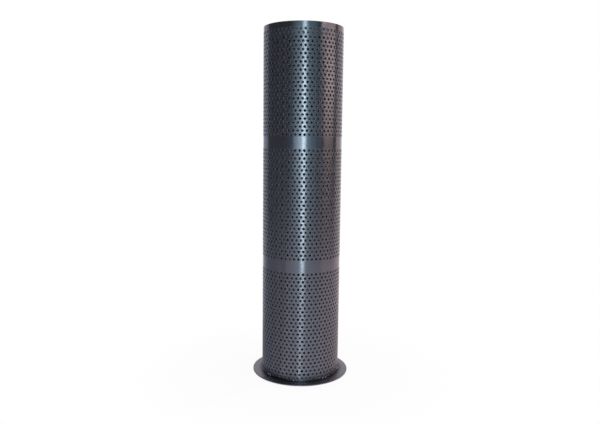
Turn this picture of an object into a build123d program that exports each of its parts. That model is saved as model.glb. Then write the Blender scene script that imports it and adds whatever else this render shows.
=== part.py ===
from math import cos, pi, radians, sin, sqrt
import os

from build123d import *

os.makedirs("parts", exist_ok=True)

# A dust collector filter cartridge that stands on its outlet flange, in millimetres.
# Dusty air comes in through the punched outer shell and the folded filter medium,
# and clean air leaves down the core and out through the collar in the flange.
# The origin is on the axis at the underside of the gasket, and +Z runs up to the closed end.

# Outer shell: one punched sheet, rolled round and welded down the back
shell_diameter = 147.5
shell_height = 646.0
shell_wall = 0.8
seam_strip = 12.0
seam_bead_width = 3.0
seam_bead_height = 0.6

# Punching of the sheet: round holes at the corners of equal triangles.
# Rows run round the shell, in zones that leave three plain rows between them.
hole_pitch = 8.0
hole_diameter = 4.5
rows_in_zones = (29, 29, 27)
plain_rows = 3
first_row_height = 6.3
# The solids carry fewer, larger windows, which open the same share of the sheet as the punching
shell_windows_round = 10
shell_window_rows = 4
core_windows_round = 6
core_window_rows = 5

# Flange plate, drawn up into a collar round the outlet
flange_diameter = 183.0
flange_thickness = 2.0
outlet_diameter = 82.0
collar_wall = 1.6
collar_height = 14.0

# Sponge rubber gasket under the flange
gasket_outer_diameter = 154.0
gasket_inner_diameter = 112.0
gasket_thickness = 5.0

# Inner core: a punched tube that slips over the collar
core_wall = 0.8
core_plain_end = 16.0

# Closed end: a dish pressed from sheet, with a cup in the middle that enters the core
cap_wall = 1.0
cap_depth = 11.0
cap_rim_drop = 0.6
cap_cup_depth = 8.0

# Folded filter medium, and the metal strip that clips its two ends together
pleats = 40
medium_thickness = 0.8
fold_width = 3.0
clip_sheet = 0.5
clip_depth = 8.0

# Potting compound at both ends of the folds
potting_depth = 11.0

# Tack welds
foot_tacks = 8
first_foot_tack = -97.0
rim_tacks = 6
tack_leg = 1.6
tack_angle = 4.0

# Clearances
slip_fit = 0.3
potting_gap = 0.1
fold_gap = 0.4
seat_gap = 0.05

# Radii and heights that follow from the sizes above
row_pitch = hole_pitch * sqrt(3) / 2
open_share = pi * hole_diameter**2 / (4 * hole_pitch * row_pitch)
shell_outer = shell_diameter / 2
shell_inner = shell_outer - shell_wall
flange_top = gasket_thickness + flange_thickness
shell_top = flange_top + shell_height
collar_inner = outlet_diameter / 2
collar_outer = collar_inner + collar_wall
collar_top = gasket_thickness + collar_height
core_inner = collar_outer + slip_fit
core_outer = core_inner + core_wall
cap_outer = shell_inner - slip_fit
cap_rim = shell_top - cap_rim_drop
cap_underside = cap_rim - cap_depth
cup_outer = core_inner - slip_fit
cup_underside = cap_underside - cap_cup_depth
core_length = cap_underside - seat_gap - flange_top
medium_foot = flange_top + potting_depth
medium_top = cap_underside - potting_depth
medium_length = medium_top - medium_foot
medium_inner = core_outer + fold_gap
clip_outer = shell_inner - fold_gap
medium_outer = clip_outer - clip_sheet - seat_gap
fold_outer_half = fold_width / 2
fold_inner_half = fold_outer_half - medium_thickness
# The seam of the shell and the clip of the medium are both at the back, on +Y
back = 90


def turned(radius, across, angle):
    """The point at a radius and a distance across it, turned round the axis by an angle in degrees."""
    turn = radians(angle)
    return (
        radius * cos(turn) - across * sin(turn),
        radius * sin(turn) + across * cos(turn),
    )


def fold_outline(peak_radius, peak_half, valley_radius, valley_half):
    """The corners of one face of the folded medium, four for each pleat, from the pleat at the back."""
    step = 360 / pleats
    outline = []
    for pleat in range(pleats):
        peak = back + pleat * step
        outline.append(turned(peak_radius, -peak_half, peak))
        outline.append(turned(peak_radius, peak_half, peak))
        outline.append(turned(valley_radius, -valley_half, peak + step / 2))
        outline.append(turned(valley_radius, valley_half, peak + step / 2))
    return outline


def window_planes(foot, height, rows, columns, strip_angle):
    """Where one zone of a tube is cut: staggered rows of radial planes, clear of a strip at the back."""
    column_angle = (360 - strip_angle) / columns
    planes = []
    for row in range(rows):
        staggered = row % 2
        level = foot + height * (row + 0.5) / rows
        for column in range(columns - staggered if strip_angle else columns):
            turn = radians(back + strip_angle / 2 + column_angle * (column + (1 + staggered) / 2))
            outwards = (cos(turn), sin(turn), 0)
            along = (-sin(turn), cos(turn), 0)
            planes.append(Plane(origin=(0, 0, level), x_dir=along, z_dir=outwards))
    return planes


def window_size(across_cell, along_cell):
    """The width and height of a window that opens the punching's share of its own cell of sheet."""
    return across_cell * sqrt(open_share), along_cell * sqrt(open_share)


# Outer shell: three punched zones in one rolled sheet, plain down the strip at the back
with BuildPart() as outer_shell:
    with BuildSketch(Plane.XY.offset(flange_top)):
        Circle(shell_outer)
        Circle(shell_inner, mode=Mode.SUBTRACT)
    extrude(amount=shell_height)
    girth = 2 * pi * shell_outer
    shell_windows = []
    rows_below = 0
    for rows in rows_in_zones:
        zone_foot = flange_top + first_row_height + row_pitch * (rows_below - 0.5)
        shell_windows += window_planes(
            zone_foot,
            row_pitch * rows,
            shell_window_rows,
            shell_windows_round,
            360 * seam_strip / girth,
        )
        rows_below += rows + plain_rows
    across_cell = (girth - seam_strip) / shell_windows_round
    along_cell = row_pitch * min(rows_in_zones) / shell_window_rows
    with BuildSketch(*shell_windows):
        Rectangle(*window_size(across_cell, along_cell))
    extrude(amount=shell_diameter, mode=Mode.SUBTRACT)
outer_shell.part.label = "outer_shell"
export_step(outer_shell.part, "parts/outer_shell.step")

# Seam weld: a low rounded bead down the plain strip at the back
with BuildPart() as shell_seam_weld:
    with BuildSketch(Plane.XY.offset(flange_top + tack_leg)):
        with BuildLine():
            bead_foot = shell_outer + seat_gap
            left_edge = (-seam_bead_width / 2, bead_foot)
            right_edge = (seam_bead_width / 2, bead_foot)
            ThreePointArc(left_edge, (0, bead_foot + seam_bead_height), right_edge)
            Line(right_edge, left_edge)
        make_face()
    extrude(amount=shell_height - 2 * tack_leg)
shell_seam_weld.part.label = "shell_seam_weld"
export_step(shell_seam_weld.part, "parts/shell_seam_weld.step")

# Flange plate: a flat ring whose inner edge is drawn up into the collar
with BuildPart() as flange_plate:
    with BuildSketch(Plane.XY.offset(gasket_thickness)):
        Circle(flange_diameter / 2)
        Circle(collar_inner, mode=Mode.SUBTRACT)
    extrude(amount=flange_thickness)
    with BuildSketch(Plane.XY.offset(gasket_thickness)):
        Circle(collar_outer)
        Circle(collar_inner, mode=Mode.SUBTRACT)
    extrude(amount=collar_height)
flange_plate.part.label = "flange_plate"
export_step(flange_plate.part, "parts/flange_plate.step")

# Gasket: a flat ring of sponge rubber that seals the flange to its seat
with BuildPart() as flange_gasket:
    with BuildSketch():
        Circle(gasket_outer_diameter / 2)
        Circle(gasket_inner_diameter / 2, mode=Mode.SUBTRACT)
    extrude(amount=gasket_thickness)
flange_gasket.part.label = "flange_gasket"
export_step(flange_gasket.part, "parts/flange_gasket.step")

# Inner core: punched tube from the flange to the closed end, with plain ends
with BuildPart() as inner_core:
    with BuildSketch(Plane.XY.offset(flange_top)):
        Circle(core_outer)
        Circle(core_inner, mode=Mode.SUBTRACT)
    extrude(amount=core_length)
    core_zone = core_length - 2 * core_plain_end
    core_windows = window_planes(
        flange_top + core_plain_end, core_zone, core_window_rows, core_windows_round, 0
    )
    across_cell = 2 * pi * core_outer / core_windows_round
    along_cell = core_zone / core_window_rows
    with BuildSketch(*core_windows):
        Rectangle(*window_size(across_cell, along_cell))
    extrude(amount=2 * core_outer, mode=Mode.SUBTRACT)
inner_core.part.label = "inner_core"
export_step(inner_core.part, "parts/inner_core.step")

# Filter medium: one long sheet folded to and fro between the core and the shell
with BuildPart() as pleated_media:
    with BuildSketch(Plane.XY.offset(medium_foot)):
        outside = fold_outline(
            medium_outer, fold_outer_half, medium_inner + medium_thickness, fold_inner_half
        )
        inside = fold_outline(
            medium_outer - medium_thickness, fold_inner_half, medium_inner, fold_outer_half
        )
        Polygon(*outside, align=None)
        Polygon(*inside, align=None, mode=Mode.SUBTRACT)
    extrude(amount=medium_length)
pleated_media.part.label = "pleated_media"
export_step(pleated_media.part, "parts/pleated_media.step")

# Clip strip: a channel of thin sheet pressed over the pleat where the medium's two ends meet
with BuildPart() as media_seam_clip:
    with BuildSketch(Plane.XY.offset(medium_foot)):
        # the pleat widens towards the axis, so the channel is as wide inside as the pleat at its lips
        pleat_foot_half = pi * medium_inner / pleats - fold_inner_half
        pleat_slope = (pleat_foot_half - fold_outer_half) / (medium_outer - medium_inner)
        clip_inside = 2 * (fold_outer_half + pleat_slope * clip_depth + seat_gap)
        with Locations((0, clip_outer)):
            Rectangle(
                clip_inside + 2 * clip_sheet,
                clip_depth + clip_sheet,
                align=(Align.CENTER, Align.MAX),
            )
        with Locations((0, clip_outer - clip_sheet)):
            Rectangle(
                clip_inside,
                clip_depth,
                align=(Align.CENTER, Align.MAX),
                mode=Mode.SUBTRACT,
            )
    extrude(amount=medium_length)
media_seam_clip.part.label = "media_seam_clip"
export_step(media_seam_clip.part, "parts/media_seam_clip.step")

# Potting: rings of set compound that fill the space between core and shell at both ends
for name, height in (("bottom_potting", flange_top), ("top_potting", medium_top)):
    with BuildPart() as potting:
        with BuildSketch(Plane.XY.offset(height)):
            Circle(shell_inner - potting_gap)
            Circle(core_outer + potting_gap, mode=Mode.SUBTRACT)
        extrude(amount=potting_depth)
    potting.part.label = name
    export_step(potting.part, f"parts/{name}.step")

# Closed end: skirt, floor and cup, all one pressing
with BuildPart() as top_end_cap:
    with BuildSketch(Plane.XZ):
        with BuildLine():
            Polyline(
                (0, cup_underside),
                (cup_outer, cup_underside),
                (cup_outer, cap_underside),
                (cap_outer, cap_underside),
                (cap_outer, cap_rim),
                (cap_outer - cap_wall, cap_rim),
                (cap_outer - cap_wall, cap_underside + cap_wall),
                (cup_outer - cap_wall, cap_underside + cap_wall),
                (cup_outer - cap_wall, cup_underside + cap_wall),
                (0, cup_underside + cap_wall),
                close=True,
            )
        make_face()
    revolve(axis=Axis.Z)
top_end_cap.part.label = "top_end_cap"
export_step(top_end_cap.part, "parts/top_end_cap.step")


# Foot tacks: short fillet welds round the shell, on the flange
with BuildPart() as foot_tack:
    with BuildSketch(Plane.XZ):
        with BuildLine():
            tack_foot = shell_outer + seat_gap
            Polyline(
                (tack_foot, flange_top),
                (tack_foot + tack_leg, flange_top),
                (tack_foot, flange_top + tack_leg),
                close=True,
            )
        make_face()
    revolve(axis=Axis.Z, revolution_arc=tack_angle)

with BuildPart() as shell_tack_welds:
    with PolarLocations(0, foot_tacks, start_angle=first_foot_tack):
        add(foot_tack.part)
shell_tack_welds.part.label = "shell_tack_welds"
export_step(shell_tack_welds.part, "parts/shell_tack_welds.step")

# Rim tacks: short welds that fill the step between the rim of the closed end and the shell
with BuildPart() as rim_tack:
    with BuildSketch(Plane.XZ):
        with BuildLine():
            rim_wall = shell_inner - seat_gap
            Polyline(
                (rim_wall, cap_rim),
                (cap_outer - cap_wall, cap_rim),
                (rim_wall, shell_top - seat_gap),
                close=True,
            )
        make_face()
    revolve(axis=Axis.Z, revolution_arc=tack_angle)

with BuildPart() as cap_tack_welds:
    with PolarLocations(0, rim_tacks, start_angle=back + 180 / rim_tacks):
        add(rim_tack.part)
cap_tack_welds.part.label = "cap_tack_welds"
export_step(cap_tack_welds.part, "parts/cap_tack_welds.step")
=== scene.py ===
# %% [markdown]
# # A dust collector filter cartridge
#
# The object is a slim tube of punched steel sheet that stands on a flat ring flange. Inside the tube
# a folded filter medium stands between the outer shell and a punched core. The CAD model holds every
# piece at its real size, in one frame: the origin is on the axis at the underside of the gasket, and
# +Z runs up. This script dresses that model. Where the CAD piece already has the right shape it only
# gets a finish. Where the real piece has more in it than the CAD solid carries, such as thousands of
# punched holes, a new mesh is made in the same place.

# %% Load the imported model
import math

import bmesh
import bpy
import numpy as np
from mathutils import Matrix, Vector


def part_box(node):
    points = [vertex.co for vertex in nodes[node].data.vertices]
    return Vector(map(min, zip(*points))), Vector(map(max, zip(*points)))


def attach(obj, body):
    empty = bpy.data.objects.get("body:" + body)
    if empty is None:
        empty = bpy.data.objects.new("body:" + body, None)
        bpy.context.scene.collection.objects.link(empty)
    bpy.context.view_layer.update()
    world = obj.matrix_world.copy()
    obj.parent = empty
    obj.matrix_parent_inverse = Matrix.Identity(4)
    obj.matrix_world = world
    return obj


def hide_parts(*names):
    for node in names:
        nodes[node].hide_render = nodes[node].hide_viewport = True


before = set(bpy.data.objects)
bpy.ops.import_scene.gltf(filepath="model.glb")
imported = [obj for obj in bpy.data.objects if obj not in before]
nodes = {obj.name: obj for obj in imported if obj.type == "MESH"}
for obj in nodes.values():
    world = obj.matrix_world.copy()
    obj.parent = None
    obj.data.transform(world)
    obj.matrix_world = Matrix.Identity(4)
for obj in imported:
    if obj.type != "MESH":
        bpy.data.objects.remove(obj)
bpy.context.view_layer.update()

scene = bpy.context.scene
scene.view_settings.view_transform = "Standard"
mm = 0.001
print("nodes in the frame:", ", ".join(sorted(nodes)))

# %% [markdown]
# ## The camera
#
# The photograph looks a little down at the tube, from a point below its top rim, so the rim shows as
# an upward arch and the flange as an open ellipse. A camera that is near enough to give those two
# curves has a rather wide view. Its place, tilt and lens are real sizes in the object's own frame, so
# they need no aiming helper.

# %% Place the camera
camera_place = Vector((-3.18, -1113.9, 447.7)) * mm
camera_pitch_down = math.radians(6.89)
camera_roll = 0.011
camera_lens_mm = 35.28

lens = bpy.data.cameras.new("photo_lens")
lens.sensor_fit = "HORIZONTAL"
lens.sensor_width = 36.0
lens.lens = camera_lens_mm
camera = bpy.data.objects.new("photo_camera", lens)
tilt = Matrix.Rotation(math.pi / 2 - camera_pitch_down, 4, "X")
camera.matrix_world = Matrix.Translation(camera_place) @ tilt @ Matrix.Rotation(camera_roll, 4, "Z")
scene.collection.objects.link(camera)
scene.camera = camera
print(f"camera {camera_place.length:.3f} m from the foot of the tube")

# %% [markdown]
# ## Sizes that the new pieces share
#
# The outer sizes are read from the frame. Sheet gauges and the spacing of the punching can't be read
# from a box, so they are named here, in millimetres turned into metres. A whole number of columns has
# to close round the tube, so the distance between holes follows from their number. Where the first
# column and the first row stand was fitted to the photograph, so that the holes fall where they do
# there.

# %% Sizes of the shell and its holes
shell_low, shell_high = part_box("outer_shell")
shell_radius = shell_high.x
shell_wall = 0.8 * mm
shell_columns = 56
hole_pitch = 2 * math.pi * shell_radius / shell_columns
row_pitch = 6.975 * mm
first_column_turn = math.radians(-0.6)
first_row_height = 5.4 * mm
hole_radius = 2.25 * mm
hole_lip = 0.4 * mm
rows_in_zones = (29, 29, 27)
plain_rows = 3
print(f"shell: radius {shell_radius:.5f} m, {shell_columns} columns, {hole_pitch * 1000:.2f} mm apart")

# %% [markdown]
# ### Rows of holes and plain bands
#
# The shell is one sheet. Its rows of holes run on in step across both plain bands, because at each
# band the press only left three rows out. So the rows are counted right through, from the lowest up,
# and a band is known by its row numbers. The same heights tell the finish where the sheet is plain.

# %% Heights of the rows and of the plain sheet
last_row_of_zone = []
next_row = 0
for rows in rows_in_zones:
    last_row_of_zone.append(next_row + rows - 1)
    next_row += rows + plain_rows


def row_height(row):
    """The height of a row of holes, counted from the lowest."""
    return shell_low.z + first_row_height + row_pitch * row


plain_stretches = [
    (row_height(last + 0.5), row_height(last + plain_rows + 0.5)) for last in last_row_of_zone[:-1]
]
above_the_rim = 2 * shell_high.z
plain_stretches.append((row_height(last_row_of_zone[-1] + 0.5), above_the_rim))
print("plain bands at", [f"{low:.3f} to {high:.3f} m" for low, high in plain_stretches[:-1]])

# %% [markdown]
# ## Turning a bmesh into a piece
#
# Every new mesh ends the same way. Doubles are merged, faces are turned outwards, and edges sharper
# than a set angle stay crisp while the rest is shaded smooth. The object stays at the origin and
# rides on the one body of this part.

# %% A helper that finishes a mesh
merge_distance = 0.000002


def finished_piece(bm, name, material, crease_angle=35.0):
    """Makes a named piece from a bmesh, with a finish, on the part's only body."""
    bmesh.ops.remove_doubles(bm, verts=bm.verts, dist=merge_distance)
    bmesh.ops.recalc_face_normals(bm, faces=bm.faces)
    mesh = bpy.data.meshes.new(name)
    bm.to_mesh(mesh)
    bm.free()
    mesh.shade_smooth()
    mesh.set_sharp_from_angle(angle=math.radians(crease_angle))
    mesh.materials.append(material)
    piece = bpy.data.objects.new(name, mesh)
    scene.collection.objects.link(piece)
    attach(piece, "root")
    mesh.calc_loop_triangles()
    print(f"{name}: {len(mesh.loop_triangles)} triangles")
    return piece


# %% [markdown]
# ## Finishes
#
# All the metal here is thin sheet, but each piece has its own surface. A finish is one Principled
# shader whose colour and roughness vary a little from place to place, as those of real sheet do. The
# patterns are worked out from Object coordinates instead of painted pictures, so they stay with the
# object from every side and have no edge or seam. The helpers below each add one kind of node.

# %% Helpers that add a finish, a node and a pattern


def new_finish(name, colour, metallic, roughness):
    """A material with one Principled shader, its plain values set on its own sockets."""
    print("finish:", name)
    material = bpy.data.materials.new(name)
    material.use_nodes = True
    shader = material.node_tree.nodes["Principled BSDF"]
    shader.inputs["Base Color"].default_value = (*colour, 1)
    shader.inputs["Metallic"].default_value = metallic
    shader.inputs["Roughness"].default_value = roughness
    return material, shader


def add_node(material, kind, **values):
    """Adds a node and sets its inputs by name, with spaces written as underscores."""
    node = material.node_tree.nodes.new(kind)
    for socket, value in values.items():
        node.inputs[socket.replace("_", " ")].default_value = value
    return node


def object_pattern(material, kind, stretch=(1, 1, 1), **values):
    """A texture node on Object coordinates, stretched along the axes."""
    tree = material.node_tree
    place = tree.nodes.new("ShaderNodeTexCoord")
    mapping = tree.nodes.new("ShaderNodeMapping")
    mapping.inputs["Scale"].default_value = stretch
    texture = add_node(material, kind, **values)
    tree.links.new(place.outputs["Object"], mapping.inputs["Vector"])
    tree.links.new(mapping.outputs["Vector"], texture.inputs["Vector"])
    return texture


# %% [markdown]
# A pattern gives a number from 0 to 1 at each point. The next helpers turn it into something useful:
# `spread` moves it to another range, `number` does one step of arithmetic, `mixed` and `two_tones` go
# from one end to another by it, and `add_bump` turns it into relief. Relief as fine as a scratch
# could be modelled, but a bump costs no faces, and its depth is still given in metres.

# %% Helpers that work on values


def spread(material, source, low, high, to_low, to_high):
    """Maps a texture's value from one range to another."""
    node = material.node_tree.nodes.new("ShaderNodeMapRange")
    for socket, value in zip(("From Min", "From Max", "To Min", "To Max"), (low, high, to_low, to_high)):
        node.inputs[socket].default_value = value
    material.node_tree.links.new(source, node.inputs["Value"])
    return node.outputs["Result"]


def number(owner, operation, *values):
    """One step of arithmetic; each value is a plain number or another node's output."""
    tree = owner.node_tree
    node = tree.nodes.new("ShaderNodeMath")
    node.operation = operation
    for place, value in zip(node.inputs, values):
        if isinstance(value, bpy.types.NodeSocket):
            tree.links.new(value, place)
        else:
            place.default_value = value
    return node.outputs["Value"]


def mixed(material, factor, first, second, kind="FLOAT"):
    """A value or a colour between two; each end is a plain value or another node's output."""
    tree = material.node_tree
    node = tree.nodes.new("ShaderNodeMix")
    node.data_type = kind
    tree.links.new(factor, node.inputs["Factor"])
    for socket, end in (("A", first), ("B", second)):
        place = [one for one in node.inputs if one.name == socket and one.enabled][0]
        if isinstance(end, bpy.types.NodeSocket):
            tree.links.new(end, place)
        else:
            place.default_value = (*end, 1) if kind == "RGBA" else end
    return [one for one in node.outputs if one.enabled][0]


def two_tones(material, factor, first, second):
    """A colour between two tones, driven by a pattern."""
    return mixed(material, factor, first, second, "RGBA")


def add_bump(material, shader, height, depth, below=None):
    """Turns a pattern into relief of a real depth in metres, over an earlier relief if there is one."""
    bump = add_node(material, "ShaderNodeBump", Strength=1.0, Distance=depth)
    tree = material.node_tree
    tree.links.new(height, bump.inputs["Height"])
    if below:
        tree.links.new(below.outputs["Normal"], bump.inputs["Normal"])
    tree.links.new(bump.outputs["Normal"], shader.inputs["Normal"])
    return bump


# %% [markdown]
# ### The rolled steel of the shell
#
# The shell is dark rolled steel with a fine grain round the tube. Such a grain draws every highlight
# out into a long upright line. Thousands of modelled scratches could do that, but an anisotropic
# shader whose tangent runs round the axis gives the same line with no mesh at all. The quarter turn
# says on which side of the tangent the highlight is drawn out.

# %% A helper for the grain
quarter_turn = 0.25


def grain_round_axis(material, shader, amount):
    """Gives a metal the fine grain of sheet that was rolled round the tube."""
    tree = material.node_tree
    place = tree.nodes.new("ShaderNodeTexCoord")
    across = tree.nodes.new("ShaderNodeVectorMath")
    across.operation = "CROSS_PRODUCT"
    across.inputs[0].default_value = (0, 0, 1)
    tree.links.new(place.outputs["Object"], across.inputs[1])
    tree.links.new(across.outputs["Vector"], shader.inputs["Tangent"])
    shader.inputs["Anisotropic"].default_value = amount
    shader.inputs["Anisotropic Rotation"].default_value = quarter_turn


# %% [markdown]
# Two places on the shell differ from the rest. The slanting lip of each hole is bare metal, paler and
# rougher. The plain bands and the top margin were never under the punches, so they mirror a little
# better. Both could be materials of their own, on picked faces. Here a mask finds them from the shape
# itself: the lip by how far its faces turn away from the tube's own direction, where 1 is not at all
# and 0 is a quarter turn, and the bands by their height.

# %% Masks for the lips of the holes and for plain sheet
lip_turn = 0.7
lip_turn_range = 0.25


def bare_edge_mask(material):
    """A value that is 1 on the slanting lip of a hole, where the punch has bared the metal."""
    tree = material.node_tree
    place = tree.nodes.new("ShaderNodeTexCoord")
    face = tree.nodes.new("ShaderNodeNewGeometry")
    outwards, unit, facing = (tree.nodes.new("ShaderNodeVectorMath") for _ in range(3))
    outwards.operation = "MULTIPLY"
    outwards.inputs[1].default_value = (1, 1, 0)
    unit.operation = "NORMALIZE"
    facing.operation = "DOT_PRODUCT"
    tree.links.new(place.outputs["Object"], outwards.inputs[0])
    tree.links.new(outwards.outputs["Vector"], unit.inputs[0])
    tree.links.new(unit.outputs["Vector"], facing.inputs[0])
    tree.links.new(face.outputs["True Normal"], facing.inputs[1])
    return number(material, "COMPARE", facing.outputs["Value"], lip_turn, lip_turn_range)


def plain_sheet_mask(material):
    """A value that is 1 on the plain bands and the top margin of the shell, and 0 elsewhere."""
    tree = material.node_tree
    place = tree.nodes.new("ShaderNodeTexCoord")
    parts = tree.nodes.new("ShaderNodeSeparateXYZ")
    tree.links.new(place.outputs["Object"], parts.inputs["Vector"])
    total = 0.0
    for low, high in plain_stretches:
        offset = number(material, "SUBTRACT", parts.outputs["Z"], (low + high) / 2)
        away = number(material, "ABSOLUTE", offset)
        half = (high - low) / 2
        inside = spread(material, away, half - mm, half + mm, 1.0, 0.0)
        total = number(material, "MAXIMUM", total, inside)
    return total


# %% [markdown]
# The finish puts these together. Clouds of a slightly different tone and smears of roughness keep it
# from looking like plastic. Two reliefs lie over each other: a slow waviness, because thin sheet is
# never quite true, and the fine scratches of the rolls.

# %% Rolled steel
rolled_steel, shader = new_finish("dark rolled steel", (0.2, 0.21, 0.235), 1.0, 0.3)
grain_round_axis(rolled_steel, shader, 0.7)
cloud = object_pattern(rolled_steel, "ShaderNodeTexNoise", (1, 1, 0.5), Scale=14.0, Detail=3.0)
tone = two_tones(rolled_steel, cloud.outputs["Fac"], (0.17, 0.178, 0.205), (0.24, 0.248, 0.27))
bare_edge = bare_edge_mask(rolled_steel)
tone = mixed(rolled_steel, bare_edge, tone, (0.36, 0.36, 0.39), "RGBA")
rolled_steel.node_tree.links.new(tone, shader.inputs["Base Color"])
smear = object_pattern(rolled_steel, "ShaderNodeTexNoise", (1, 1, 6), Scale=60.0, Detail=4.0)
rough = spread(rolled_steel, smear.outputs["Fac"], 0.3, 0.7, 0.24, 0.36)
rough = mixed(rolled_steel, plain_sheet_mask(rolled_steel), rough, 0.24)
rough = mixed(rolled_steel, bare_edge, rough, 0.6)
rolled_steel.node_tree.links.new(rough, shader.inputs["Roughness"])
wave = object_pattern(rolled_steel, "ShaderNodeTexNoise", (1, 1, 0.45), Scale=16.0, Detail=1.0)
waviness = add_bump(rolled_steel, shader, wave.outputs["Fac"], 0.4 * mm)
scratch = object_pattern(rolled_steel, "ShaderNodeTexNoise", (40, 40, 900), Scale=1.0, Detail=2.0)
add_bump(rolled_steel, shader, scratch.outputs["Fac"], 0.004 * mm, below=waviness)

# %% [markdown]
# ### The steel of the flange
#
# The flange is duller sheet that was handled and wiped, so its tone is cloudy. The corner between it
# and the shell gets painted shade. Shadow alone could show that corner, but a tone that darkens towards
# the shell's radius paints the shade there, so it shows under any light.

# %% Flange steel


def painted_corner_shade(material, tone, radius, reach, dark):
    """Painted shade: lets a tone fade to a dark one towards a radius, where shadow falls in a corner."""
    around = object_pattern(material, "ShaderNodeVectorMath", (1, 1, 0))
    around.operation = "LENGTH"
    share = spread(material, around.outputs["Value"], radius, radius + reach, 0.0, 1.0)
    return mixed(material, share, dark, tone, "RGBA")


corner_shade_reach = 9 * mm
flange_steel, shader = new_finish("satin flange steel", (0.2, 0.19, 0.235), 1.0, 0.35)
cloud = object_pattern(flange_steel, "ShaderNodeTexNoise", Scale=22.0, Detail=4.0)
tone = two_tones(flange_steel, cloud.outputs["Fac"], (0.165, 0.145, 0.185), (0.225, 0.205, 0.25))
# Painted shade: the tone goes dark towards the shell's radius, in place of the corner's shadow.
tone = painted_corner_shade(flange_steel, tone, shell_radius, corner_shade_reach, (0.03, 0.026, 0.032))
flange_steel.node_tree.links.new(tone, shader.inputs["Base Color"])
rough = spread(flange_steel, cloud.outputs["Fac"], 0.3, 0.7, 0.4, 0.52)
flange_steel.node_tree.links.new(rough, shader.inputs["Roughness"])
scratch = object_pattern(flange_steel, "ShaderNodeTexNoise", (30, 900, 30), Scale=1.0, Detail=2.0)
add_bump(flange_steel, shader, scratch.outputs["Fac"], 0.004 * mm)

# %% [markdown]
# ### The steel of the cap, the core and the clip, and weld metal
#
# The closed end was pulled into shape by a press, which leaves faint upright marks on its rim. Noise
# that is squeezed sideways draws such marks without a picture of them.

# %% Pressed steel of the cap
cap_steel, shader = new_finish("pressed cap steel", (0.4, 0.41, 0.44), 1.0, 0.32)
cloud = object_pattern(cap_steel, "ShaderNodeTexNoise", Scale=26.0, Detail=4.0)
tone = two_tones(cap_steel, cloud.outputs["Fac"], (0.34, 0.35, 0.385), (0.46, 0.47, 0.5))
cap_steel.node_tree.links.new(tone, shader.inputs["Base Color"])
rough = spread(cap_steel, cloud.outputs["Fac"], 0.3, 0.7, 0.26, 0.4)
cap_steel.node_tree.links.new(rough, shader.inputs["Roughness"])
draw_marks = object_pattern(cap_steel, "ShaderNodeTexNoise", (90, 90, 20), Scale=3.0, Detail=2.0)
add_bump(cap_steel, shader, draw_marks.outputs["Fac"], 0.01 * mm)

# %% [markdown]
# The core is sheet with a zinc coat, which sets in flat crystals, each with its own tone. Voronoi cells
# have the shape of such crystals, because both start at scattered points and grow until they meet.

# %% Coated steel of the core
core_steel, shader = new_finish("zinc coated core sheet", (0.42, 0.43, 0.45), 1.0, 0.38)
spangle = object_pattern(core_steel, "ShaderNodeTexVoronoi", Scale=160.0)
tone = two_tones(core_steel, spangle.outputs["Color"], (0.36, 0.37, 0.39), (0.48, 0.49, 0.51))
core_steel.node_tree.links.new(tone, shader.inputs["Base Color"])
rough = spread(core_steel, spangle.outputs["Distance"], 0.0, 0.6, 0.3, 0.46)
core_steel.node_tree.links.new(rough, shader.inputs["Roughness"])

# %% [markdown]
# The clip strip is thin sheet, scratched along its length. Weld metal has a thin scaly skin with a
# grain of about two millimetres. Both are small pieces, so one noise each is enough.

# %% Clip strip and weld metal
clip_steel, shader = new_finish("clip strip sheet", (0.45, 0.45, 0.46), 1.0, 0.35)
scratch = object_pattern(clip_steel, "ShaderNodeTexNoise", (500, 500, 20), Scale=1.0, Detail=2.0)
rough = spread(clip_steel, scratch.outputs["Fac"], 0.3, 0.7, 0.28, 0.42)
clip_steel.node_tree.links.new(rough, shader.inputs["Roughness"])

weld_metal, shader = new_finish("weld metal", (0.42, 0.4, 0.4), 1.0, 0.2)
scale_skin = object_pattern(weld_metal, "ShaderNodeTexNoise", Scale=420.0, Detail=3.0)
tone = two_tones(weld_metal, scale_skin.outputs["Fac"], (0.24, 0.22, 0.22), (0.6, 0.6, 0.62))
weld_metal.node_tree.links.new(tone, shader.inputs["Base Color"])
add_bump(weld_metal, shader, scale_skin.outputs["Fac"], 0.05 * mm)

# %% [markdown]
# ### Felt, compound and rubber
#
# The medium is needled felt: dull, with a fluffy grain of short fibres. Real hairs could be grown on
# it, but it is seen only through small holes. Noise gives the grain, and sheen gives the light that
# fibres scatter at a slant.

# %% Felt of the medium
felt, shader = new_finish("needled felt", (0.07, 0.067, 0.07), 0.0, 0.95)
shader.inputs["Sheen Weight"].default_value = 0.25
shader.inputs["Sheen Roughness"].default_value = 0.6
fluff = object_pattern(felt, "ShaderNodeTexNoise", Scale=900.0, Detail=5.0, Roughness=0.7)
tone = two_tones(felt, fluff.outputs["Fac"], (0.04, 0.038, 0.042), (0.11, 0.105, 0.108))
felt.node_tree.links.new(tone, shader.inputs["Base Color"])
add_bump(felt, shader, fluff.outputs["Fac"], 0.35 * mm)

# %% [markdown]
# The compound that seals the ends of the folds was poured and left to set, so it is nearly smooth, with
# a few pinholes where air got out. The middles of Voronoi cells are such spots: the surface goes down
# only close to them.

# %% Cast compound
compound, shader = new_finish("cast potting compound", (0.05, 0.05, 0.055), 0.0, 0.45)
mottle = object_pattern(compound, "ShaderNodeTexNoise", Scale=60.0, Detail=4.0)
tone = two_tones(compound, mottle.outputs["Fac"], (0.035, 0.035, 0.04), (0.075, 0.074, 0.08))
compound.node_tree.links.new(tone, shader.inputs["Base Color"])
pinholes = object_pattern(compound, "ShaderNodeTexVoronoi", Scale=320.0)
pits = spread(compound, pinholes.outputs["Distance"], 0.0, 0.25, 0.0, 1.0)
add_bump(compound, shader, pits, 0.2 * mm)

# %% [markdown]
# The gasket is closed-cell sponge rubber, and its skin shows small round cells. The same pattern, finer
# and with wider pits, covers the whole face, and the pits are darker than the walls between them.

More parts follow.
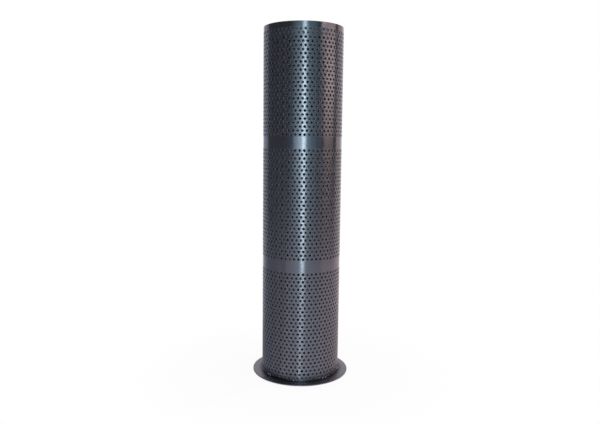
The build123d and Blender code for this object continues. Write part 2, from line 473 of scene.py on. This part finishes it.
# %% Sponge rubber
sponge, shader = new_finish("sponge rubber", (0.03, 0.03, 0.032), 0.0, 0.85)
cells = object_pattern(sponge, "ShaderNodeTexVoronoi", Scale=900.0)
pits = spread(sponge, cells.outputs["Distance"], 0.0, 0.4, 0.0, 1.0)
tone = two_tones(sponge, pits, (0.012, 0.012, 0.013), (0.045, 0.045, 0.048))
sponge.node_tree.links.new(tone, shader.inputs["Base Color"])
add_bump(sponge, shader, pits, 0.4 * mm)
print("materials in the file, with those of the CAD model:", len(bpy.data.materials))

# %% [markdown]
# ## The punched shell
#
# On the real object one sheet was punched flat, with round holes at the corners of equal triangles,
# and then rolled into a tube. The mesh is made in the same order. A single hexagon of sheet holds one
# hole: a ring of twelve points for the hole, a hexagon round it, and bridges between them on both
# faces. Hexagons tile a triangular pattern exactly, so one upright column of them, bent onto the
# cylinder and spun round the axis, closes into the whole tube with shared edges. Boolean cuts would
# take minutes for thousands of holes and leave ragged triangles.

# %% Rings of points in the flat sheet
ring_points = 12
point_angle = 360 / ring_points


def place_round(ring, middle, distance, depth):
    """Puts each point of a ring at its own angle, a distance from the middle of the hole."""
    for vert in ring:
        turn = math.degrees(math.atan2(vert.co.z - middle[1], vert.co.x - middle[0]))
        angle = math.radians(point_angle * round(turn / point_angle))
        vert.co = (middle[0] + distance * math.cos(angle), depth, middle[1] + distance * math.sin(angle))


def place_hexagon(ring, middle, depth, pitch, rows):
    """Puts a ring on the edge of its hexagon, at six corners and six middles of sides."""
    place_round(ring, middle, pitch / math.sqrt(3), depth)
    for vert in ring:
        across, up = vert.co.x - middle[0], vert.co.z - middle[1]
        on_a_side = round(math.degrees(math.atan2(up, across)) / point_angle) % 2 == 0
        draw_in = math.cos(math.pi / 6) if on_a_side else 1.0
        vert.co.x = middle[0] + across * draw_in
        vert.co.z = middle[1] + up * draw_in * rows / (pitch * math.sqrt(3) / 2)


def new_ring(bm, middle, depth, pitch, rows):
    """A hexagon's edge in the flat sheet, as its points and the edges between them."""
    upright = Matrix.Translation((middle[0], 0, middle[1])) @ Matrix.Rotation(math.pi / 2, 4, "X")
    ring = bmesh.ops.create_circle(bm, segments=ring_points, radius=pitch / 2, matrix=upright)["verts"]
    place_hexagon(ring, middle, depth, pitch, rows)
    return ring, list({edge for vert in ring for edge in vert.link_edges})


def next_ring(bm, edges):
    """Extrudes a ring where it stands, and returns the new points and edges."""
    made = bmesh.ops.extrude_edge_only(bm, edges=edges)["geom"]
    ring = [part for part in made if isinstance(part, bmesh.types.BMVert)]
    return ring, [part for part in made if isinstance(part, bmesh.types.BMEdge)]


# %% [markdown]
# A punched hole has a slanting lip where the punch went in. The cell gets it by extruding the ring of
# points again and again: in to the lip's outer edge, down the slant, through the sheet, and out to the
# hexagon on the back. A plain cell needs none of that, so it is a fan of triangles on each face.

# %% One hexagon of sheet, with and without its hole


def add_punched_cell(bm, middle, pitch, rows, wall, radius, lip):
    """One hexagon of sheet with a hole through it, whose outer edge has a small slanting lip."""
    ring, edges = new_ring(bm, middle, 0, pitch, rows)
    for distance, depth in ((radius + lip, 0), (radius, lip), (radius, wall)):
        ring, edges = next_ring(bm, edges)
        place_round(ring, middle, distance, depth)
    ring, edges = next_ring(bm, edges)
    place_hexagon(ring, middle, wall, pitch, rows)


def add_plain_cell(bm, middle, pitch, rows, wall):
    """One hexagon of sheet without a hole, a fan of triangles on each face."""
    for depth in (0, wall):
        ring, _ = new_ring(bm, middle, depth, pitch, rows)
        bmesh.ops.poke(bm, faces=[bm.faces.new(ring)])


# %% [markdown]
# A column is a stack of hexagons, every second one half a pitch to the side. `bend_to_cylinder` lays
# the flat column on the tube. Away from the front nothing changes but the angle, so `spin` with
# duplicates makes the other columns.

# %% From one column to a tube


def bend_to_cylinder(bm, radius, turn):
    """Lays flat sheet on a cylinder whose front is at -Y, turned by an angle."""
    for vert in bm.verts:
        angle = vert.co.x / radius + turn
        reach = radius - vert.co.y
        vert.co = (reach * math.sin(angle), -reach * math.cos(angle), vert.co.z)


def add_column(bm, turn, cells, radius, pitch, rows, wall, hole, lip):
    """Adds one bent column; cells lists (side step, height, punched) from the bottom up."""
    flat = bmesh.new()
    for side_step, height, punched in cells:
        middle = (side_step * pitch, height)
        if punched:
            add_punched_cell(flat, middle, pitch, rows, wall, hole, lip)
        else:
            add_plain_cell(flat, middle, pitch, rows, wall)
    bend_to_cylinder(flat, radius, turn)
    column = bpy.data.meshes.new("column")
    flat.to_mesh(column)
    flat.free()
    old = len(bm.verts)
    bm.from_mesh(column)
    bpy.data.meshes.remove(column)
    bm.verts.ensure_lookup_table()
    return bm.verts[old:]


# %% [markdown]
# The tube is cut level at both ends, which leaves the wall open there. Filling the gap face by face
# would be slow, so the outer rim is extruded once and drawn in until it meets the inner rim.

# %% Close the cut ends


def close_end(bm, level, radius, wall):
    """Closes the cut wall at a level: the outer rim is extruded inwards until it meets the inner one."""
    rim = []
    for edge in bm.edges:
        middle = (edge.verts[0].co + edge.verts[1].co) / 2
        if edge.is_boundary and abs(middle.z - level) < wall / 10 and middle.xy.length > radius - wall / 2:
            rim.append(edge)
    ring, _ = next_ring(bm, rim)
    for vert in ring:
        vert.co.xy *= (radius - wall) / radius
    bmesh.ops.remove_doubles(bm, verts=bm.verts, dist=merge_distance)


# %% [markdown]
# Last come the normals. Smooth shading blends the direction of a face with that of its neighbours,
# and the walls of the holes would dent the reflections beside them. More rings of faces round each
# hole would hide that, but make the mesh too heavy. Both faces of the sheet are given the cylinder's
# own direction instead, so the tube mirrors like one smooth sheet. The slanting lips still count as
# the outside, and the inside is only what looks nearly straight at the axis.

# %% Give the sheet the direction of the cylinder
sheet_face_depth = 0.02 * mm
least_outward_turn = 0.3
least_inward_turn = 0.9


def values_of(items, name, width=1, kind=np.float32):
    """Reads one property of every item into an array, with a row for each item if it has a width."""
    values = np.empty(len(items) * width, kind)
    items.foreach_get(name, values)
    return values.reshape(-1, width) if width > 1 else values


def true_up_normals(mesh, outer, inner):
    """Gives both faces of the sheet the cylinder's own direction, so no hole dents a reflection."""
    normals = values_of(mesh.corner_normals, "vector", 3)
    corners = values_of(mesh.loops, "vertex_index", kind=np.int32)
    points = values_of(mesh.vertices, "co", 3)[corners]
    corners_of_face = values_of(mesh.polygons, "loop_total", kind=np.int32)
    facing = np.repeat(values_of(mesh.polygons, "normal", 3), corners_of_face, axis=0)
    reach = np.hypot(points[:, 0], points[:, 1])
    radial = np.zeros_like(points)
    radial[:, :2] = points[:, :2] / reach[:, None]
    outwards = np.sum(facing * radial, axis=1)
    on_outside = (np.abs(reach - outer) < sheet_face_depth) & (outwards > least_outward_turn)
    on_inside = (np.abs(reach - inner) < sheet_face_depth) & (outwards < -least_inward_turn)
    normals[on_outside] = radial[on_outside]
    normals[on_inside] = -radial[on_inside]
    mesh.normals_split_custom_set(normals)
    print(f"{mesh.name}: {np.count_nonzero(on_outside | on_inside)} of {len(corners)} corners trued up")


# %% [markdown]
# ### Three zones from one sheet
#
# One mesh of the whole shell would be too heavy for a model viewer, so it is made in three lengths that
# meet in the middle of the plain bands, where no hole is cut. Two columns at the back have plain cells:
# that is the strip where the edges of the sheet were welded together.

# %% Which cells have a hole


def is_punched(row):
    """Whether a row has holes: the rows between two zones, and past the ends, are plain."""
    start = 0
    for rows in rows_in_zones:
        if start <= row < start + rows:
            return True
        start += rows + plain_rows
    return False


def shell_cells(low, high, odd_rows=True, even_rows=True):
    """The cells of one column between two levels; rows of one kind can be left without holes."""
    half_cell = hole_pitch / math.sqrt(3)
    first = math.floor((low - half_cell - row_height(0)) / row_pitch)
    last = math.ceil((high + half_cell - row_height(0)) / row_pitch)
    cells = []
    for row in range(first, last + 1):
        wanted = odd_rows if row % 2 else even_rows
        cells.append((0 if row % 2 else 0.5, row_height(row), wanted and is_punched(row)))
    return cells


# %% [markdown]
# Rolling the sheet comes next. Every column could be built and bent on its own, but `spin` copies a
# finished one far faster, so only the columns at the seam are built again. `bisect_plane` then cuts both
# ends level, as a saw would.

# %% A rolled and punched tube


def punched_tube(low, high, cells_of, columns, plain_columns, turn, radius, wall, rows, hole, lip):
    """A bmesh of a rolled and punched tube between two levels, closed at both ends."""
    pitch = 2 * math.pi * radius / columns
    step = 2 * math.pi / columns
    sizes = (radius, pitch, rows, wall, hole, lip)
    bm = bmesh.new()
    first = max(plain_columns) + 1 if plain_columns else 0
    copies = columns - len(plain_columns) - 1
    column = add_column(bm, turn + first * step, cells_of(low, high), *sizes)
    geometry = list(column) + list(bm.edges) + list(bm.faces)
    bmesh.ops.spin(
        bm,
        geom=geometry,
        cent=(0, 0, 0),
        axis=(0, 0, 1),
        angle=copies * step,
        steps=copies,
        use_duplicate=True,
    )
    for place, kept in plain_columns.items():
        add_column(bm, turn + place * step, cells_of(low, high, *kept), *sizes)
    bmesh.ops.remove_doubles(bm, verts=bm.verts, dist=merge_distance)
    for level, upwards in ((low, -1), (high, 1)):
        everything = list(bm.verts) + list(bm.edges) + list(bm.faces)
        bmesh.ops.bisect_plane(
            bm,
            geom=everything,
            dist=merge_distance,
            plane_co=(0, 0, level),
            plane_no=(0, 0, upwards),
            clear_outer=True,
        )
        close_end(bm, level, radius, wall)
    return bm


# %% [markdown]
# With the helpers in place, each zone takes one call. The seam lies behind, at +Y. There the odd rows
# leave out one hole and the even rows two, so the plain strip lies on both sides of the weld.

# %% Make the three zones of the shell
# For each column at the seam: whether its odd rows, and its even rows, keep their holes.
behind = shell_columns // 2
seam_columns = {behind - 1: (True, False), behind: (False, False)}
middle_of_band = (plain_rows + 1) / 2
cuts = [shell_low.z]
cuts += [row_height(last + middle_of_band) for last in last_row_of_zone[:-1]]
cuts += [shell_high.z]
for name, low, high in zip(("low", "middle", "top"), cuts, cuts[1:]):
    tube = punched_tube(
        low, high, shell_cells, shell_columns, seam_columns, first_column_turn,
        shell_radius, shell_wall, row_pitch, hole_radius, hole_lip,
    )
    zone = finished_piece(tube, f"shell_{name}_zone", rolled_steel, 50.0)
    true_up_normals(zone.data, shell_radius, shell_radius - shell_wall)
    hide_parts("outer_shell")
print("seam columns left plain:", sorted(seam_columns))

# %% [markdown]
# ## The punched core
#
# The core is a tube of the same kind, with larger holes further apart. It shows through the outlet,
# and the same functions make it with other sizes.

# %% Make the core
core_low, core_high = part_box("inner_core")
core_radius = core_high.x
core_wall = 0.8 * mm
core_hole_pitch = 10.0 * mm
core_hole_radius = 3.0 * mm
core_row_pitch = core_hole_pitch * math.sqrt(3) / 2
core_plain_end = 16.0 * mm
core_columns = round(2 * math.pi * core_radius / core_hole_pitch)


def core_cells(low, high):
    """The cells of one column of the core, plain at both ends."""
    half_cell = core_hole_pitch / math.sqrt(3)
    count = math.ceil((high - low) / core_row_pitch) + 2
    cells = []
    for row in range(-1, count):
        height = low + core_row_pitch * row
        inside = low + core_plain_end < height - half_cell and height + half_cell < high - core_plain_end
        cells.append((0.5 * (row % 2), height, inside))
    return cells


tube = punched_tube(
    core_low.z, core_high.z, core_cells, core_columns, {}, 0.0,
    core_radius, core_wall, core_row_pitch, core_hole_radius, hole_lip / 2,
)
core = finished_piece(tube, "punched_core_tube", core_steel, 50.0)
true_up_normals(core.data, core_radius, core_radius - core_wall)
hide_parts("inner_core")

# %% [markdown]
# ## Turned pieces
#
# The flange, the closed end and the gasket are bodies of revolution. Each starts as the outline of
# its section, one point for each corner. `bevel` on single points rounds a corner with its own
# radius, which is how a bend or a rolled edge is drawn. `spin` then turns the outline round the axis.

# %% A helper that turns a section round the axis
turn_steps = 144
corner_segments = 4
on_the_axis = 1e-7


def turned_section(outline):
    """Spins a closed outline of (radius, height, rounding) corners into a bmesh."""
    bm = bmesh.new()
    corners = [bm.verts.new((radius, 0, height)) for radius, height, _ in outline]
    bm.faces.new(corners)
    for corner, (_, _, rounding) in zip(corners, outline):
        if rounding:
            bmesh.ops.bevel(
                bm,
                geom=[corner],
                offset=rounding,
                offset_type="OFFSET",
                affect="VERTICES",
                segments=corner_segments,
                profile=0.5,
                material=-1,
            )
    bmesh.ops.delete(bm, geom=list(bm.faces), context="FACES_ONLY")
    inner_edges = [edge for edge in bm.edges if all(abs(vert.co.x) < on_the_axis for vert in edge.verts)]
    bmesh.ops.delete(bm, geom=inner_edges, context="EDGES")
    bmesh.ops.spin(
        bm,
        geom=list(bm.verts) + list(bm.edges),
        cent=(0, 0, 0),
        axis=(0, 0, 1),
        angle=2 * math.pi,
        steps=turn_steps,
        use_merge=True,
    )
    return bm


def even_shading(piece):
    """Lets the large faces set the shading, so flat sheet looks flat right up to its bends."""
    weighted = piece.modifiers.new("large faces lead", "WEIGHTED_NORMAL")
    weighted.keep_sharp = True


# %% [markdown]
# ### Flange
#
# The flange is one sheet. Its middle was cut out and the edge drawn up into a short collar, which
# carries the core. A tube set on a disc would show a joint that isn't there, so one outline is spun:
# a wide bend under the collar, a tight corner on top, and edges broken as a press leaves them.

# %% Flange plate with its drawn collar
flange_low, flange_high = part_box("flange_plate")
flange_radius = flange_high.x
flange_sheet = 2.0 * mm
flange_face = flange_low.z + flange_sheet
bore_radius = 41.0 * mm
collar_wall = 1.6 * mm
rolled_edge = 0.55 * mm
collar_bend = 2.4 * mm
collar_root = 0.25 * mm
flange = finished_piece(
    turned_section([
        (bore_radius, flange_low.z, collar_bend),
        (flange_radius, flange_low.z, rolled_edge),
        (flange_radius, flange_face, rolled_edge),
        (bore_radius + collar_wall, flange_face, collar_root),
        (bore_radius + collar_wall, flange_high.z, rolled_edge),
        (bore_radius, flange_high.z, rolled_edge),
    ]),
    "drawn_flange", flange_steel,
)
even_shading(flange)
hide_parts("flange_plate")

# %% [markdown]
# ### Closed end
#
# The closed end is a dish with an upright rim, and a cup in its middle that centres the core. Pressed
# sheet keeps its gauge round a bend, so the bend is wider outside than inside by that gauge. The
# outline follows the sheet out on its underside and back on its upper side.

# %% Closed end
slip_fit = 0.3 * mm
cap_low, cap_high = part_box("top_end_cap")
cap_radius = cap_high.x
cap_sheet = 1.0 * mm
cap_dish_depth = 11.0 * mm
cap_floor = cap_high.z - cap_dish_depth
cup_radius = core_radius - core_wall - slip_fit
tight_bend = 1.0 * mm
wide_bend = tight_bend + cap_sheet
cap_edge = 0.3 * mm
end_cap = finished_piece(
    turned_section([
        (0, cap_low.z, 0),
        (cup_radius, cap_low.z, wide_bend),
        (cup_radius, cap_floor, tight_bend),
        (cap_radius, cap_floor, wide_bend),
        (cap_radius, cap_high.z, cap_edge),
        (cap_radius - cap_sheet, cap_high.z, cap_edge),
        (cap_radius - cap_sheet, cap_floor + cap_sheet, tight_bend),
        (cup_radius - cap_sheet, cap_floor + cap_sheet, wide_bend),
        (cup_radius - cap_sheet, cap_low.z + cap_sheet, tight_bend),
        (0, cap_low.z + cap_sheet, 0),
    ]),
    "pressed_end_cap", cap_steel,
)
even_shading(end_cap)
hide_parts("top_end_cap")

# %% [markdown]
# ### Gasket
#
# The gasket is cut from a flat sponge sheet. It only needs soft edges, so its section is a rectangle
# with rounded corners.

# %% Gasket
gasket_low, gasket_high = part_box("flange_gasket")
gasket_radius = gasket_high.x
gasket_width = 21.0 * mm
gasket_edge = 0.9 * mm
gasket = finished_piece(
    turned_section([
        (gasket_radius - gasket_width, gasket_low.z, gasket_edge),
        (gasket_radius, gasket_low.z, gasket_edge),
        (gasket_radius, gasket_high.z, gasket_edge),
        (gasket_radius - gasket_width, gasket_high.z, gasket_edge),
    ]),
    "sponge_gasket", sponge,
)
even_shading(gasket)
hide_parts("flange_gasket")

# %% [markdown]
# ## Welds
#
# A weld bead is a row of overlapping frozen drops. Hundreds of drops laid in a row would bury faces
# in each other, so the seam bead is one half round section that is drawn up the back in many short
# steps, and then each drop's length of it is made a little wider in its middle.

# %% Seam bead
seam_low, seam_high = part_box("shell_seam_weld")
bead_half_width = (seam_high.x - seam_low.x) / 2
bead_rise = seam_high.y - shell_radius
bead_points = 9
drop_length = 1.5 * mm
steps_per_drop = 4
bead_steps = int((seam_high.z - seam_low.z) / drop_length) * steps_per_drop
bead = bmesh.new()
section = bmesh.ops.create_circle(bead, segments=2 * bead_points, radius=bead_half_width)["verts"]
sunk_part = bead_half_width / 3
for vert in section:
    vert.co.y = max(vert.co.y, -sunk_part)
bmesh.ops.spin(
    bead,
    geom=list(bead.verts) + list(bead.edges),
    axis=(0, 0, 1),
    cent=(0, 0, 0),
    dvec=(0, 0, (seam_high.z - seam_low.z) / bead_steps),
    angle=0,
    steps=bead_steps,
)
bmesh.ops.holes_fill(bead, edges=[edge for edge in bead.edges if edge.is_boundary])
ripple = 0.22
for vert in bead.verts:
    along = vert.co.z / drop_length + (vert.co.x / bead_half_width) ** 2 / 3
    swell = 1 - ripple * abs((along % 1.0) - 0.5) * 2
    vert.co.x *= swell
    vert.co.y = shell_radius + vert.co.y * swell * bead_rise / bead_half_width
    vert.co.z += seam_low.z
seam_bead = finished_piece(bead, "rippled_seam_bead", weld_metal, 60.0)
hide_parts("shell_seam_weld")

# %% [markdown]
# ### Tack welds
#
# A tack weld at the foot is a pair of drops in the corner between shell and flange. At the rim a
# single drop bridges the small gap between the shell and the closed end. A drop is a sphere pressed
# flat and pulled out along the joint.

# %% Tack welds at the foot
drop_half_length = 1.7 * mm
drop_half_width = 1.5 * mm
drop_spacing = 6.4 * mm
foot_drop_lift = 1.1 * mm


def add_drop(bm, radius, height, angle, rise):
    """One drop of weld metal at a joint, pulled out along it."""
    drop = bmesh.ops.create_uvsphere(bm, u_segments=16, v_segments=10, radius=1.0)["verts"]
    bmesh.ops.scale(bm, vec=(rise, drop_half_length, drop_half_width), verts=drop)
    bmesh.ops.translate(bm, vec=(radius, 0, height), verts=drop)
    turn = Matrix.Rotation(math.radians(angle), 3, "Z")
    bmesh.ops.rotate(bm, cent=(0, 0, 0), matrix=turn, verts=drop)


foot_tacks = 8
first_foot_tack = -97.0
tacks = bmesh.new()
half_spread = math.degrees(drop_spacing / shell_radius / 2)
for count in range(foot_tacks):
    for side in (-half_spread, half_spread):
        angle = first_foot_tack + count * 360 / foot_tacks + side
        add_drop(tacks, shell_radius, flange_face + foot_drop_lift, angle, drop_half_width)
foot_tack_piece = finished_piece(tacks, "foot_tack_drops", weld_metal)
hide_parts("shell_tack_welds")

# %% [markdown]
# The drops at the rim use the same helper. They sit just below the top edge, in the joint between the
# shell and the closed end's rim, so little of them stands out.

# %% Tack welds at the rim
rim_tacks = 6
rim_drop_rise = 1.0 * mm
rim_drop_sink = 1.6 * mm
tacks = bmesh.new()
rim_joint = (cap_radius + shell_radius - shell_wall) / 2
for count in range(rim_tacks):
    add_drop(tacks, rim_joint, shell_high.z - rim_drop_sink, count * 360 / rim_tacks, rim_drop_rise)
rim_tack_piece = finished_piece(tacks, "rim_tack_drops", weld_metal)
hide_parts("cap_tack_welds")

# %% [markdown]
# ## Pieces that keep their CAD shape
#
# The folded medium, its clip strip and the two rings of compound are already right as solids. A new
# mesh would add nothing to them, so they only get their finishes.

# %% Dress the CAD pieces


def set_node_finish(node, material):
    """Dresses a CAD piece whose shape is right as it is."""
    slots = nodes[node].material_slots
    for place in slots:
        place.material = material
    if not slots:
        nodes[node].data.materials.append(material)
    print(f"{node}: {material.name}")


set_node_finish("pleated_media", felt)
set_node_finish("media_seam_clip", clip_steel)
set_node_finish("bottom_potting", compound)
set_node_finish("top_potting", compound)

# %% [markdown]
# ## The studio
#
# Polished metal shows what stands round it, so the studio is built like one for metalware. White paper
# could be lit until it looks white, but so much light would bleach the metal. Instead the ground and
# the world are plain white to the camera and to reflections, and a lower, even light to everything
# else. A Light Path node tells the two apart.

# %% A helper for what the camera and the mirrors see


def seen_directly(owner):
    """Is Camera, Is Glossy and Is Transmission Ray together, as one value from 0 to 1."""
    rays = owner.node_tree.nodes.new("ShaderNodeLightPath")
    total = rays.outputs["Is Camera Ray"]
    for name in ("Is Glossy Ray", "Is Transmission Ray"):
        total = number(owner, "MAXIMUM", total, rays.outputs[name])
    return total


# %% [markdown]
# ### Ground
#
# The ground is one large square, as white as what lies behind it, so its far edge doesn't show. Near
# the object it keeps a small share of real shading. So the object's own shadow falls on it, and the
# object stands on something.

# %% Ground
ground_size = 12.0
bm = bmesh.new()
bmesh.ops.create_grid(bm, x_segments=1, y_segments=1, size=ground_size / 2)
ground_mesh = bpy.data.meshes.new("studio_ground")
bm.to_mesh(ground_mesh)
bm.free()
ground = bpy.data.objects.new("studio_ground", ground_mesh)
scene.collection.objects.link(ground)
print(f"ground {ground_size:.0f} m across")

# %% Paint of the ground
shadow_start = 0.1
shadow_reach = 0.35
ground_share = 0.05
ground_grey = 0.92
ground_paint = bpy.data.materials.new("white ground")
ground_paint.use_nodes = True
tree = ground_paint.node_tree
tree.nodes.remove(tree.nodes["Principled BSDF"])
matt = add_node(ground_paint, "ShaderNodeBsdfDiffuse", Color=(ground_grey, ground_grey, ground_grey, 1))
glow = add_node(ground_paint, "ShaderNodeEmission", Color=(1, 1, 1, 1), Strength=1.0)
away = object_pattern(ground_paint, "ShaderNodeVectorMath")
away.operation = "LENGTH"
white = spread(ground_paint, away.outputs["Value"], shadow_start, shadow_reach, 1 - ground_share, 1.0)
share = number(ground_paint, "MULTIPLY", seen_directly(ground_paint), white)
mix = tree.nodes.new("ShaderNodeMixShader")
tree.links.new(share, mix.inputs["Fac"])
tree.links.new(matt.outputs["BSDF"], mix.inputs[1])
tree.links.new(glow.outputs["Emission"], mix.inputs[2])
tree.links.new(mix.outputs["Shader"], tree.nodes["Material Output"].inputs["Surface"])
ground_mesh.materials.append(ground_paint)
print(f"the ground keeps {ground_share:.0%} of its shading up to {shadow_reach} m out")

# %% [markdown]
# ### World
#
# Behind the ground is only the world. Its background has two levels as well: white where it is looked
# at or mirrored, and a lower fill light where it only lights.

# %% World
fill_level = 0.75
world = bpy.data.worlds.new("white studio")
scene.world = world
world.use_nodes = True
sky = world.node_tree.nodes["Background"]
sky.inputs["Color"].default_value = (1, 1, 1, 1)
level = spread(world, seen_directly(world), 0.0, 1.0, fill_level, 1.0)
world.node_tree.links.new(level, sky.inputs["Strength"])
print(f"fill light at {fill_level}")

# %% [markdown]
# ## Cards and lamps
#
# A tube mirrors a whole half circle of the room in narrow upright stripes, so each stripe of its tone
# is a card at its own angle. A charcoal card gives the dark body, grey ones the pale edges, blue ones
# the cool stretch beside the tall narrow lamp that draws the bright line, and warm ones the light patch
# at the right. The upper plain band mirrors one height only, so it has cards of its own there. The
# lower third mirrors the floor and gets its tones from cards that lie on it. An image of a room could
# do all this, but cards can be set one by one. The camera doesn't see them.

# %% A helper that sets up a card
degrees_of_a_step = 5


def add_card(name, start, end, foot, head, colour, strength):
    """A curved card round the object that glows dimly; foot and head are (reach, height) in metres."""
    bm = bmesh.new()
    ends = [bm.verts.new((0, -reach, height)) for reach, height in (foot, head)]
    bm.edges.new(ends)
    bmesh.ops.rotate(bm, cent=(0, 0, 0), matrix=Matrix.Rotation(math.radians(start), 3, "Z"), verts=ends)
    bmesh.ops.spin(
        bm,
        geom=list(bm.verts) + list(bm.edges),
        cent=(0, 0, 0),
        axis=(0, 0, 1),
        angle=math.radians(end - start),
        steps=max(2, round((end - start) / degrees_of_a_step)),
    )
    mesh = bpy.data.meshes.new(name)
    bm.to_mesh(mesh)
    bm.free()
    card = bpy.data.objects.new(name, mesh)
    scene.collection.objects.link(card)
    card.visible_camera = False
    paint = bpy.data.materials.new(name + " paint")
    paint.use_nodes = True
    tree = paint.node_tree
    tree.nodes.remove(tree.nodes["Principled BSDF"])
    light = add_node(paint, "ShaderNodeEmission", Color=(*colour, 1), Strength=strength)
    tree.links.new(light.outputs["Emission"], tree.nodes["Material Output"].inputs["Surface"])
    mesh.materials.append(paint)


# %% [markdown]
# Where cards overlap, the one that should show stands nearer to the object. The tall lamp is cut into
# lengths, because the bright line shifts sideways and changes in strength from zone to zone.

# %% Set up the cards and the lamps
# Each line gives a name, the first and last angle in degrees from the camera's side, the foot and the
# head as (reach, height) in metres, a colour and a strength.
cards = (
    ("charcoal_card", -118, 112, (1.60, 0.0), (1.60, 3.2), (0.94, 0.92, 1.08), 0.09),
    ("left_grey_card", -152, -118, (1.60, 0.0), (1.60, 3.2), (0.9, 0.93, 1.1), 0.55),
    ("right_grey_card", 112, 142, (1.60, 0.0), (1.60, 3.2), (1.08, 0.9, 0.9), 0.74),
    ("blue_card", -30, 40, (1.52, 0.0), (1.52, 3.0), (0.62, 0.95, 1.12), 0.25),
    ("left_blue_card", -22, -2, (1.48, 0.0), (1.48, 3.0), (0.58, 0.92, 1.12), 0.42),
    ("right_blue_card", 4, 34, (1.48, 0.0), (1.48, 3.0), (0.6, 0.95, 1.12), 0.38),
    ("band_dark_card", -118, -46, (1.46, 0.40), (1.46, 0.50), (0.94, 0.95, 1.08), 0.22),
    ("band_fade_card", -46, -25, (1.46, 0.40), (1.46, 0.50), (0.7, 0.85, 1.1), 0.4),
    ("band_glow_card", -25, -8, (1.46, 0.38), (1.46, 0.51), (0.66, 0.9, 1.15), 2.3),
    ("band_near_card", -1, 22, (1.46, 0.38), (1.46, 0.50), (0.64, 0.95, 1.08), 1.3),
    ("band_side_card", 22, 54, (1.46, 0.38), (1.46, 0.50), (0.66, 0.84, 1.12), 0.46),
    ("low_warm_card", 62, 100, (1.54, 0.0), (1.54, 0.56), (1.1, 0.87, 0.82), 0.08),
    ("middle_warm_card", 63, 100, (1.54, 0.56), (1.54, 0.62), (1.1, 0.85, 0.78), 0.6),
    ("high_warm_card", 63, 99, (1.54, 0.62), (1.54, 0.865), (1.1, 0.84, 0.78), 3.0),
    ("top_warm_card", 70, 100, (1.54, 0.865), (1.54, 3.0), (1.0, 0.93, 0.93), 0.12),
    ("rim_glint_card", 51, 64, (1.50, 0.95), (1.50, 1.2), (1.05, 0.95, 0.97), 3.0),
    ("left_foot_floor_card", -150, -128, (0.10, 0.002), (0.32, 0.002), (0.93, 0.93, 1.12), 0.38),
    ("left_edge_floor_card", -150, -128, (0.32, 0.002), (1.50, 0.002), (0.93, 0.93, 1.12), 0.55),
    ("left_floor_card", -128, -75, (0.10, 0.002), (1.50, 0.002), (0.93, 0.92, 1.12), 0.34),
    ("middle_floor_card", -75, -44, (0.10, 0.002), (1.50, 0.002), (0.95, 0.92, 1.08), 0.41),
    ("front_floor_card", -44, 60, (0.10, 0.002), (1.50, 0.002), (0.97, 0.92, 1.05), 0.65),
    ("right_foot_floor_card", 60, 150, (0.10, 0.002), (0.45, 0.002), (1.1, 0.9, 0.95), 0.61),
    ("right_floor_card", 60, 150, (0.45, 0.002), (1.50, 0.002), (1.1, 0.9, 0.95), 0.78),
    ("near_floor_lamp", -2.6, -1.0, (0.10, 0.003), (0.5, 0.003), (0.95, 1.0, 1.08), 3.6),
    ("far_floor_lamp", 1.6, 3.4, (0.5, 0.003), (1.44, 0.003), (0.95, 1.0, 1.08), 2.9),
    ("low_tall_lamp", -1, 8, (1.44, 0.0), (1.44, 0.37), (0.8, 1.0, 1.08), 6.0),
    ("band_tall_lamp", -14, -1, (1.44, 0.37), (1.44, 0.53), (0.85, 1.0, 1.06), 3.6),
    ("tall_lamp", -0.5, 8, (1.44, 0.53), (1.44, 0.88), (0.8, 1.0, 1.08), 7.6),
    ("top_tall_lamp", -4, 4, (1.44, 0.88), (1.44, 1.2), (0.9, 0.95, 1.05), 0.9),
)
for card in cards:
    add_card(*card)
